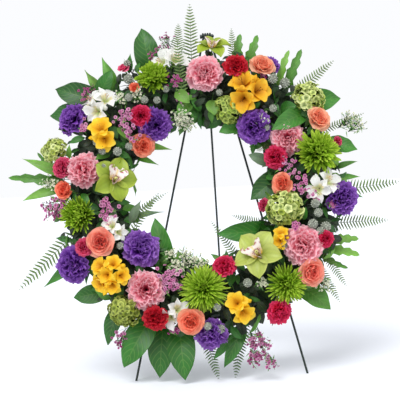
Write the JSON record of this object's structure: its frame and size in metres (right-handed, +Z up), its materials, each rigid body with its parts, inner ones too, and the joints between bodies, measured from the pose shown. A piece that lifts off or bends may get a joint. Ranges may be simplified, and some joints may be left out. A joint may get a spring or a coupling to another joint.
{
  "type": "funeral wreath on easel",
  "caption": "Round funeral wreath of mixed blossoms, leaves and ferns set in a floral foam ring, leaning back on a folding three-legged wire easel.",
  "frame": {"origin": "on the floor, under the middle of the part's own box", "axes": "+Z up, -Y the way the wreath faces, +X to the right of someone facing it"},
  "size_m": [0.8628, 0.5798, 0.8345],
  "materials": {
    "coated_wire": "dark green plastic coat, satin",
    "purple_petals": "matt ruffled petals, paler edges",
    "pink_petals": "matt ruffled petals, whiter edges",
    "crimson_petals": "velvety petals",
    "coral_petals": "smooth petals, peach outside",
    "lime_petals": "narrow smooth petals",
    "pale_green_florets": "matt small florets",
    "yellow_petals": "waxy petals",
    "white_petals": "smooth petals, yellow-green throats",
    "orchid_petals": "waxy tepals",
    "foliage": "glossy leaves, matt ferns",
    "floral_foam": "wet crushed foam, dull",
    "tray_plastic": "plain moulded plastic"
  },
  "bodies": {
    "wreath_and_front_frame": {"easel_left_leg": "coated_wire", "easel_right_leg": "coated_wire", "easel_top_hook": "coated_wire", "hinge_bolt": "coated_wire", "hinge_nut": "coated_wire", "purple_carnation_1": "purple_petals", "purple_carnation_2": "purple_petals", "purple_carnation_3": "purple_petals", "purple_carnation_4": "purple_petals", "purple_carnation_5": "purple_petals", "purple_carnation_6": "purple_petals", "purple_carnation_7": "purple_petals", "pink_carnation_1": "pink_petals", "pink_carnation_2": "pink_petals", "pink_carnation_3": "pink_petals", "pink_carnation_4": "pink_petals", "pink_carnation_5": "pink_petals", "crimson_carnation_1": "crimson_petals", "crimson_carnation_2": "crimson_petals", "crimson_carnation_3": "crimson_petals", "crimson_carnation_4": "crimson_petals", "crimson_carnation_5": "crimson_petals", "crimson_carnation_6": "crimson_petals", "crimson_carnation_7": "crimson_petals", "coral_rose_1": "coral_petals", "coral_rose_2": "coral_petals", "coral_rose_3": "coral_petals", "coral_rose_4": "coral_petals", "coral_rose_5": "coral_petals", "coral_rose_6": "coral_petals", "coral_rose_7": "coral_petals", "coral_rose_8": "coral_petals", "spider_mum_1": "lime_petals", "spider_mum_2": "lime_petals", "spider_mum_3": "lime_petals", "spider_mum_4": "lime_petals", "spider_mum_5": "lime_petals", "viburnum_1": "pale_green_florets", "viburnum_2": "pale_green_florets", "viburnum_3": "pale_green_florets", "viburnum_4": "pale_green_florets", "viburnum_5": "pale_green_florets", "freesia_1": "yellow_petals", "freesia_2": "yellow_petals", "freesia_3": "yellow_petals", "freesia_4": "yellow_petals", "alstroemeria_1": "white_petals", "alstroemeria_2": "white_petals", "alstroemeria_3": "white_petals", "alstroemeria_4": "white_petals", "cymbidium_1": "orchid_petals", "cymbidium_2": "orchid_petals", "cymbidium_3": "orchid_petals", "foam_ring": "floral_foam", "base_tray": "tray_plastic", "greenery_upper_right": "foliage", "greenery_lower_right": "foliage", "greenery_lower_left": "foliage", "greenery_upper_left": "foliage"},
    "rear_leg": {"easel_rear_leg": "coated_wire"}
  },
  "joints": [
    {"name": "rear_leg_fold", "type": "hinge", "parent": "wreath_and_front_frame", "child": "rear_leg", "pos_m": [0.02062, 0.02727, 0.77994], "axis": [-1, 0, 0], "range_deg": [0, 31]}
  ]
}
